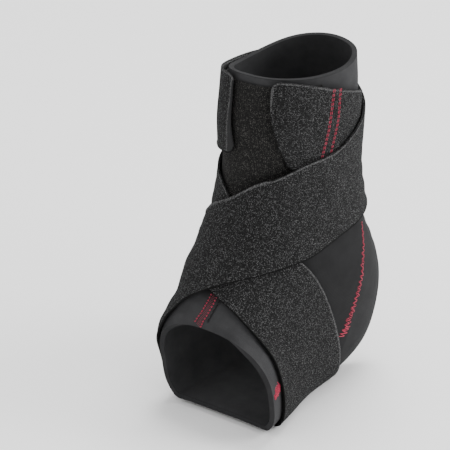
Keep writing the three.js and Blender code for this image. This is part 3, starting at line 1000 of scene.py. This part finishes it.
# Lays a thread from each start to its end over the face that lies at a height over the sleeve
def sew(name, starts, ends, face, thick, slot, rings=7, sides=6):
    t = np.linspace(0, 1, rings)
    path = starts[:, None] + (ends - starts)[:, None] * t[:, None]
    around, along = path[..., 0], path[..., 1]
    sunk = threadForm["depth"] * thick * np.abs(2 * t - 1) ** threadForm["dive"]
    line = clothPoint(around, along, face(around, along) + threadForm["height"] * thick - sunk)
    outward = sleeveFrame(around, along)[0]
    forward = np.gradient(line, axis=1)
    side = np.cross(outward, forward)
    side /= np.linalg.norm(side, axis=-1, keepdims=True)
    up = np.cross(forward, side)
    up /= np.linalg.norm(up, axis=-1, keepdims=True)
    turn = np.radians(np.linspace(-90, 270, sides + 1))[:, None]
    girth = thick / 2 * np.minimum(1, threadForm["taper"] * np.minimum(t, 1 - t)) ** 0.5
    ring = np.cos(turn) * side[:, :, None] + np.sin(turn) * up[:, :, None]
    points = line[:, :, None] + girth[:, None, None] * ring
    reach = np.linalg.norm(line[0, -1] - line[0, 0])
    cut = np.stack(np.broadcast_arrays(t[:, None] * reach, np.linspace(0, 1, sides + 1)), -1)
    first = layCloth(name, points[0], cut)
    threads = [first]
    for place in points[1:]:
        thread = first.copy()
        thread.data = first.data.copy()
        bpy.context.collection.objects.link(thread)
        writePoints(thread, place.reshape(-1, 3) * mm)
        threads.append(thread)
    startClean()
    for thread in threads:
        thread.select_set(True)
    bpy.context.view_layer.objects.active = first
    bpy.ops.object.join()
    bpy.ops.object.mode_set(mode="EDIT")
    bpy.ops.mesh.select_all(action="SELECT")
    bpy.ops.mesh.remove_doubles(threshold=0.000002)
    bpy.ops.mesh.normals_make_consistent(inside=False)
    bpy.ops.object.mode_set(mode="OBJECT")
    finishPiece(first, slot, 60)
    print(name, len(points), "stitches")
    return first


# Threads along a seam, one after the other. share is the length of each, as a share of the pitch.
def sewRow(name, seam, face, pitch, thick, slot, share, aside=0.0, uneven=0.06):
    steps = np.arange(0, lengthOf(seam) - share * pitch, pitch)
    random = np.random.default_rng(len(steps))
    sides = aside + random.normal(0, uneven, (2, len(steps)))
    starts = placesOn(seam, steps, sides[0])
    ends = placesOn(seam, steps + share * pitch, sides[1])
    return sew(name, starts, ends, face, thick, slot)


# A zigzag along a seam. width has its widths at the seam's start and end.
def sewZigzag(name, seam, face, pitch, width, thick, slot, uneven):
    steps = np.arange(0, lengthOf(seam), pitch / 2)
    random = np.random.default_rng(len(steps))
    swing = np.where(np.arange(len(steps)) % 2, 0.5, -0.5) * np.linspace(*width, len(steps))
    corners = placesOn(seam, steps, swing + random.normal(0, uneven, len(steps)))
    return sew(name, corners[:-1], corners[1:], face, thick, slot)


# Threads straight across a seam, one beside the other. width has values spread evenly along the seam.
def sewAcross(name, seam, face, pitch, width, thick, slot, uneven):
    steps = np.arange(pitch / 2, lengthOf(seam), pitch)
    half = np.interp(steps / lengthOf(seam), np.linspace(0, 1, len(width)), width) / 2
    random = np.random.default_rng(len(steps))
    starts = placesOn(seam, steps, random.normal(0, uneven, len(steps)) - half)
    ends = placesOn(seam, steps, random.normal(0, uneven, len(steps)) + half)
    return sew(name, starts, ends, face, thick, slot)


def onSleeve(around, along):
    return np.zeros(np.broadcast(around, along).shape)


def onInnerStrap(around, along):
    return overInnerTab(around, along) + strapSizes["thick"]


def onOuterStrap(around, along):
    return overOuterTab(around, along) + strapSizes["thick"]


seams = {
    "innerRowLeft": ((74.6, 0.03), (73.8, 0.071), (72.8, 0.105), (72, 0.15), (69.8, 0.197), (67.9, 0.222)),
    "innerRowRight": ((81.2, 0.034), (80.9, 0.07), (80.8, 0.1), (80.3, 0.145), (78.6, 0.185), (77, 0.208)),
    "outerRowLeft": ((-72, 0.03), (-71, 0.08), (-70, 0.125), (-69, 0.18)),
    "outerRowRight": ((-78, 0.03), (-77, 0.08), (-76, 0.125), (-75, 0.18)),
    "heel": (
        (122.7, 0.41),
        (113, 0.452),
        (106.5, 0.497),
        (103.8, 0.54),
        (103.6, 0.581),
        (105.3, 0.633),
        (107, 0.668),
    ),
    "instep": (
        (8.6, 0.7),
        (8, 0.736),
        (7.2, 0.772),
        (5.6, 0.818),
        (2.8, 0.86),
        (-0.8, 0.908),
        (-6.4, 0.964),
        (-8.6, 0.985),
    ),
    "instepFoldShadow": ((16.6, 0.72), (15, 0.768), (13, 0.816), (9.2, 0.874), (5, 0.925), (1, 0.965)),
    "heelTack": ((106.2, 0.646), (107.4, 0.677)),
    "toeTack": ((91.7, 0.99), (92.3, 0.953), (92.9, 0.916)),
}
mirrored = {name: tuple((-around, along) for around, along in seam) for name, seam in seams.items()}
strapStitches = {"pitch": 2.7, "thick": 0.44, "slot": "red_thread", "share": 0.97}
innerRows, outerRows = [], []
for side, aside in (("1", -0.5), ("2", 0.5)):
    for row in ("left", "right"):
        name, seam = "_strap_stitches_" + row + "_" + side, "Row" + row.title()
        inner = sewRow("inner" + name, seams["inner" + seam], onInnerStrap, aside=aside, **strapStitches)
        outer = sewRow("outer" + name, seams["outer" + seam], onOuterStrap, aside=aside, **strapStitches)
        innerRows.append(inner)
        outerRows.append(outer)
# The instep's two rows of cover stitch lie this far to each side of its ladder of cross threads
rowAside = 1.9
zigzag = {"pitch": 3.5, "width": (1.6, 8), "thick": 0.42, "slot": "red_thread", "uneven": 0.4}
underZigzag = {"pitch": 2.9, "width": (0.8, 5), "thick": 0.34, "slot": "red_thread", "uneven": 0.5}
ladder = {"pitch": 0.9, "width": (3, 3), "thick": 0.13, "slot": "red_thread", "uneven": 0.08}
heelTack = {"pitch": 2.2, "width": (6, 7), "thick": 0.5, "slot": "red_thread", "uneven": 0.8}
toeTack = {"pitch": 1.3, "width": (4, 7, 9, 8, 5), "thick": 0.7, "slot": "red_thread", "uneven": 0.7}
instepRow = {"pitch": 1.9, "thick": 0.9, "slot": "red_thread", "share": 0.52}
# the black thread along the fold beside the instep seam stands in for the fold's shadow, as painted shade
instepFoldShadow = {"pitch": 3.0, "thick": 1.0, "slot": "black_thread", "share": 1.1}
sleeveStitches = [
    sewZigzag("heel_stitches_outer", seams["heel"], onSleeve, **zigzag),
    sewZigzag("heel_stitches_inner", mirrored["heel"], onSleeve, **zigzag),
    sewZigzag("heel_stitches_outer_2", seams["heel"], onSleeve, **underZigzag),
    sewZigzag("heel_stitches_inner_2", mirrored["heel"], onSleeve, **underZigzag),
    sewZigzag("heel_tack_outer", seams["heelTack"], onSleeve, **heelTack),
    sewZigzag("heel_tack_inner", mirrored["heelTack"], onSleeve, **heelTack),
    sewAcross("instep_ladder", seams["instep"], onSleeve, **ladder),
    sewRow("instep_stitches_1", seams["instep"], onSleeve, aside=-rowAside, **instepRow),
    sewRow("instep_stitches_2", seams["instep"], onSleeve, aside=rowAside, **instepRow),
    sewRow("instep_fold_shadow", seams["instepFoldShadow"], onSleeve, **instepFoldShadow),
    sewAcross("toe_tack", seams["toeTack"], onSleeve, **toeTack),
]
print("stitches made")

# Floor and light
stagePlan = {"floor": (0.95, 0.95, 0.95, 1), "floorSide": 12, "sky": (1, 1, 1, 1), "skyStrength": 1.15}


def makeStage(plan):
    startClean()
    bpy.ops.mesh.primitive_plane_add(size=plan["floorSide"])
    floor = bpy.context.object
    floor.name = "studioFloor"
    material, _, shader = startMaterial("paleFloor", roughness=0.6, sheen=0.0)
    shader.inputs["Base Color"].default_value = plan["floor"]
    floor.data.materials.append(material)
    world = bpy.data.worlds.new("studio")
    world.use_nodes = True
    sky = world.node_tree.nodes["Background"]
    sky.inputs["Color"].default_value = plan["sky"]
    sky.inputs["Strength"].default_value = plan["skyStrength"]
    bpy.context.scene.world = world


# Each light's place from what the camera looks at, to the right in the picture, up in it and towards
# the camera, then its width and its power in watts
softLights = {
    "softBoxRight": (1.3, 0.7, 0.35, 0.8, 14),
    "softBoxTop": (0.2, 1.7, 0.3, 1.0, 29),
    "fillFront": (1.1, -0.2, 1.0, 0.9, 5.5),
}


def addSoftLight(name, right, up, back, size, energy):
    place = Vector(viewPlan["lookAt"]) + viewRight * right + viewUp * up + viewBack * back
    aim = Vector(viewPlan["lookAt"]) - place
    bpy.ops.object.light_add(type="AREA", location=place, rotation=aim.to_track_quat("-Z", "Y").to_euler())
    light = bpy.context.object
    light.name = name
    light.data.shape = "DISK"
    light.data.size = size
    light.data.energy = energy


makeStage(stagePlan)
for name, plan in softLights.items():
    addSoftLight(name, *plan)
print("stage set")
